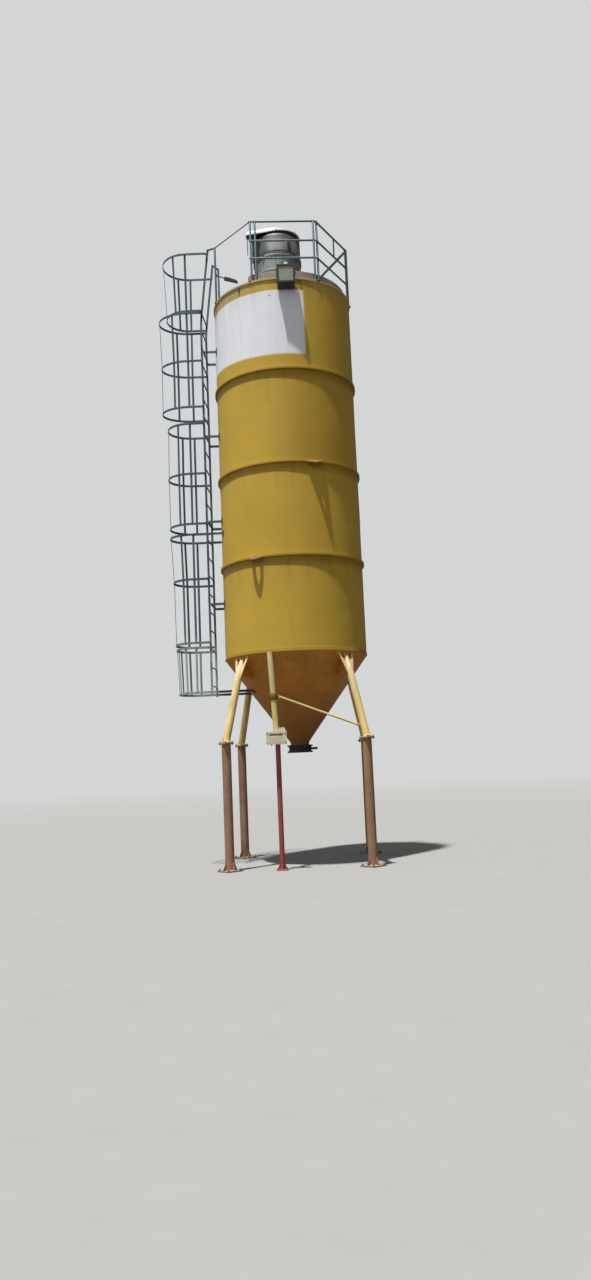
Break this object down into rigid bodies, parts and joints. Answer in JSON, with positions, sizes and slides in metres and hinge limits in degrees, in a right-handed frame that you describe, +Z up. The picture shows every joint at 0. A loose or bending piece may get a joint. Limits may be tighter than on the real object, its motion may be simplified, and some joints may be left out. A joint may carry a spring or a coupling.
{
  "type": "cement silo",
  "caption": "Tall round steel powder silo on pipe legs, with a cone outlet, a caged ladder, a guarded roof and a dust filter.",
  "frame": {"origin": "on the ground, under the middle of the whole outline, which is 0.398 m on the ladder's side of the silo's axis", "axes": "+Z up, -Y the front with the slim pole, -X the ladder's side"},
  "size_m": [3.4231, 2.6153, 10.628],
  "materials": {
    "shell_paint": "weathered matt yellow paint with cement dust",
    "leg_paint": "faded yellow paint",
    "red_brown_primer": "matt red brown primer, dusty",
    "red_paint": "matt red paint",
    "galvanised_steel": "dull zinc, blue grey",
    "dusty_steel": "grey paint under cement dust",
    "filter_grey": "matt grey paint",
    "white_paint": "satin white paint",
    "cream_plastic": "weathered cream",
    "lamp_grey": "dark grey, satin",
    "valve_iron": "dark, rough"
  },
  "bodies": {
    "root": {"shell_course_1": "shell_paint", "shell_course_2": "shell_paint", "shell_course_3": "shell_paint", "shell_course_4": "shell_paint", "stiffener_ring_1": "shell_paint", "stiffener_ring_2": "shell_paint", "stiffener_ring_3": "shell_paint", "roof_plate": "shell_paint", "roof_hatch": "dusty_steel", "filter_drum": "filter_grey", "filter_head": "filter_grey", "filter_cap": "white_paint", "rail_front": "galvanised_steel", "rail_front_right": "galvanised_steel", "rail_back_right": "galvanised_steel", "rail_back": "galvanised_steel", "toe_board": "dusty_steel", "guard_bar_front": "galvanised_steel", "guard_bar_back": "galvanised_steel", "ladder": "galvanised_steel", "ladder_bracket_1": "galvanised_steel", "ladder_bracket_2": "galvanised_steel", "ladder_bracket_3": "galvanised_steel", "ladder_bracket_4": "galvanised_steel", "cage_section_1": "galvanised_steel", "cage_section_2": "galvanised_steel", "cage_section_3": "galvanised_steel", "cage_section_4": "galvanised_steel", "cage_section_5": "galvanised_steel", "cone": "shell_paint", "outlet_valve": "valve_iron", "leg_front_left": "leg_paint", "leg_front_right": "leg_paint", "leg_back_right": "leg_paint", "leg_back_left": "leg_paint", "post_front_left": "red_brown_primer", "post_front_right": "red_brown_primer", "post_back_right": "red_brown_primer", "post_back_left": "red_brown_primer", "slim_pole": "leg_paint", "pole_stand": "red_paint", "control_box": "cream_plastic", "pole_brace": "leg_paint", "floodlight_front": "lamp_grey", "floodlight_side": "lamp_grey"}
  },
  "joints": []
}
